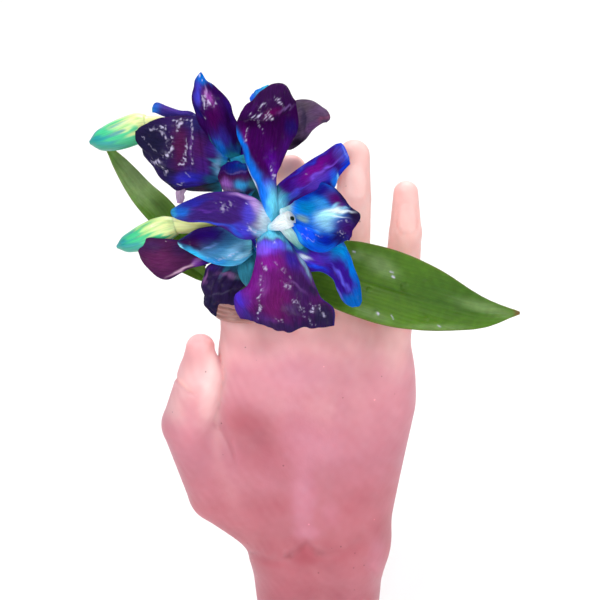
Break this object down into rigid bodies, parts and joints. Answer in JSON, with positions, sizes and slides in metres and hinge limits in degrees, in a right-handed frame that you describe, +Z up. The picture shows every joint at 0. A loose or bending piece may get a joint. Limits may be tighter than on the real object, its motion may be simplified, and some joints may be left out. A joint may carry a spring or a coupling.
{
  "type": "orchid corsage on hand-shaped glass stand",
  "caption": "Blue and purple orchid spray with buds and glossy leaves, worn on an upright frosted pink glass hand stand that rests on its flat wrist.",
  "frame": {"origin": "centre of the flat foot at the wrist", "axes": "+Z up along the hand, -Y towards the back of the hand and the open blooms, -X towards the thumb"},
  "size_m": [0.1544, 0.0717, 0.2499],
  "materials": {
    "frosted_glass": "frosted",
    "band_plastic": "satin",
    "stem_tape": "matte",
    "green_stem": "satin",
    "leaf_green": "gloss",
    "bud_skin": "satin",
    "petal_purple": "satin",
    "lip_blue": "satin"
  },
  "bodies": {
    "root": {"hand_stand": "frosted_glass", "finger_band": "band_plastic", "stem_binding": "stem_tape", "spray_stem": "green_stem", "leaf_right": "leaf_green", "leaf_left": "leaf_green", "leaf_lower": "leaf_green", "bud_upper": "bud_skin", "bud_lower": "bud_skin", "bloom_front": "petal_purple", "bloom_front_lip": "lip_blue", "bloom_upper": "petal_purple", "bloom_upper_lip": "lip_blue", "bloom_lower": "petal_purple", "bloom_lower_lip": "lip_blue", "bloom_back": "petal_purple", "bloom_back_lip": "lip_blue"}
  },
  "joints": []
}
